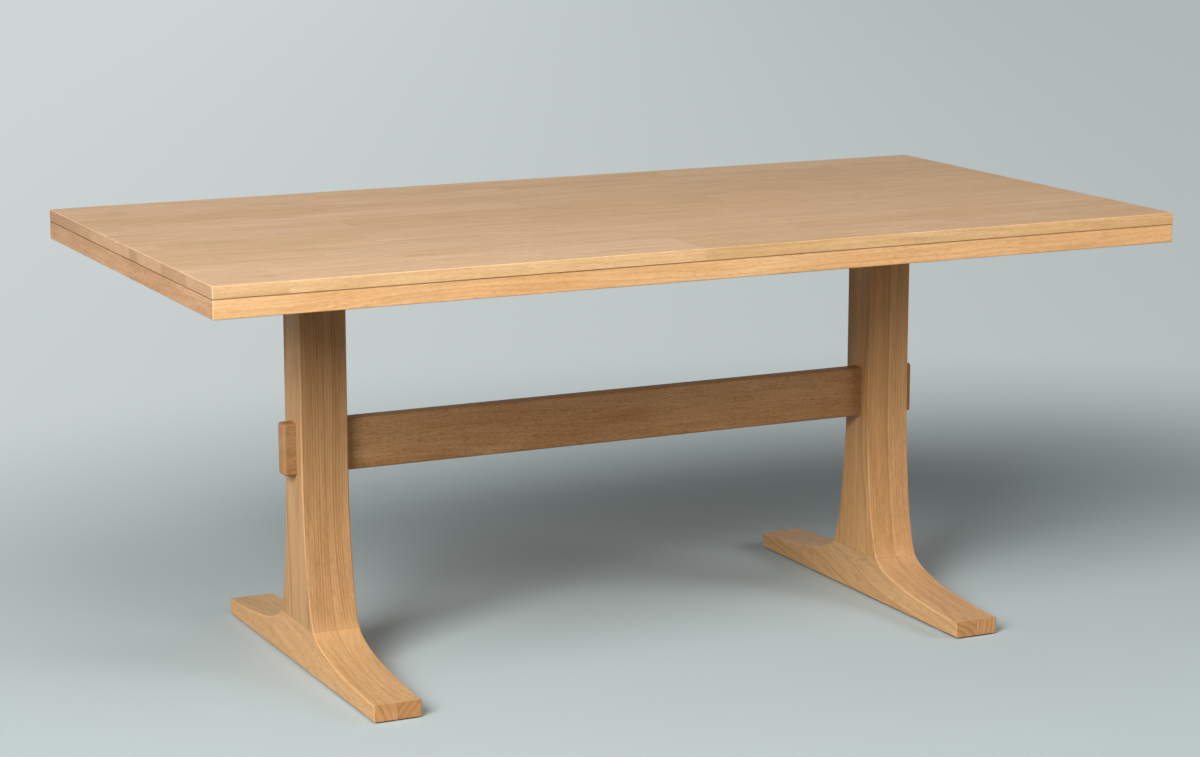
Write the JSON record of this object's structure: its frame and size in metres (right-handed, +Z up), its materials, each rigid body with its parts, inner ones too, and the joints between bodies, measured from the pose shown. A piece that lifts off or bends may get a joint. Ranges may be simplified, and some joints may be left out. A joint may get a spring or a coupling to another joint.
{
  "type": "trestle dining table",
  "caption": "Rectangular wooden trestle dining table: banded plank top on flared T-shaped pedestals tied by a through-tenoned stretcher, standing on screw-in levellers.",
  "frame": {"origin": "on the floor under the middle of the top", "axes": "+X along the table's length, +Y from the front long side to the back, +Z up"},
  "size_m": [1.8, 0.915, 0.77],
  "materials": {
    "panel_wood": "satin",
    "band_wood": "satin",
    "rail_wood": "matte",
    "pedestal_wood": "satin",
    "stretcher_wood": "satin",
    "dowel_wood": "matte",
    "bolt_steel": "satin",
    "insert_brass": "satin",
    "leveller_nylon": "matte"
  },
  "bodies": {
    "table": {"top_board_1": "panel_wood", "top_board_2": "panel_wood", "top_board_3": "panel_wood", "top_board_4": "panel_wood", "top_board_5": "panel_wood", "top_board_6": "panel_wood", "top_board_7": "panel_wood", "top_board_8": "panel_wood", "top_board_9": "panel_wood", "top_board_10": "panel_wood", "front_edge_band": "band_wood", "back_edge_band": "band_wood", "left_edge_band": "band_wood", "right_edge_band": "band_wood", "left_bearer": "rail_wood", "right_bearer": "rail_wood", "centre_batten": "rail_wood", "left_post_outer_half": "pedestal_wood", "left_post_inner_half": "pedestal_wood", "right_post_outer_half": "pedestal_wood", "right_post_inner_half": "pedestal_wood", "left_foot_outer_half": "pedestal_wood", "left_foot_inner_half": "pedestal_wood", "right_foot_outer_half": "pedestal_wood", "right_foot_inner_half": "pedestal_wood", "stretcher": "stretcher_wood", "left_bearer_dowel_1": "dowel_wood", "left_bearer_dowel_2": "dowel_wood", "right_bearer_dowel_1": "dowel_wood", "right_bearer_dowel_2": "dowel_wood", "left_foot_dowel_1": "dowel_wood", "left_foot_dowel_2": "dowel_wood", "right_foot_dowel_1": "dowel_wood", "right_foot_dowel_2": "dowel_wood", "left_bearer_front_bolt": "bolt_steel", "left_bearer_back_bolt": "bolt_steel", "right_bearer_front_bolt": "bolt_steel", "right_bearer_back_bolt": "bolt_steel", "centre_batten_front_bolt": "bolt_steel", "centre_batten_back_bolt": "bolt_steel", "left_lock_bolt": "bolt_steel", "right_lock_bolt": "bolt_steel", "left_bearer_front_insert": "insert_brass", "left_bearer_back_insert": "insert_brass", "right_bearer_front_insert": "insert_brass", "right_bearer_back_insert": "insert_brass", "centre_batten_front_insert": "insert_brass", "centre_batten_back_insert": "insert_brass", "left_tenon_insert": "insert_brass", "right_tenon_insert": "insert_brass", "left_front_leveller_insert": "insert_brass", "left_back_leveller_insert": "insert_brass", "right_front_leveller_insert": "insert_brass", "right_back_leveller_insert": "insert_brass"},
    "left_front_leveller": {"left_front_leveller": "leveller_nylon"},
    "left_back_leveller": {"left_back_leveller": "leveller_nylon"},
    "right_front_leveller": {"right_front_leveller": "leveller_nylon"},
    "right_back_leveller": {"right_back_leveller": "leveller_nylon"}
  },
  "joints": [
    {"name": "left_front_leveller_screw", "type": "slide", "parent": "table", "child": "left_front_leveller", "axis": [0, 0, -1], "range_m": [0, 0.01]},
    {"name": "left_back_leveller_screw", "type": "slide", "parent": "table", "child": "left_back_leveller", "axis": [0, 0, -1], "range_m": [0, 0.01]},
    {"name": "right_front_leveller_screw", "type": "slide", "parent": "table", "child": "right_front_leveller", "axis": [0, 0, -1], "range_m": [0, 0.01]},
    {"name": "right_back_leveller_screw", "type": "slide", "parent": "table", "child": "right_back_leveller", "axis": [0, 0, -1], "range_m": [0, 0.01]}
  ]
}
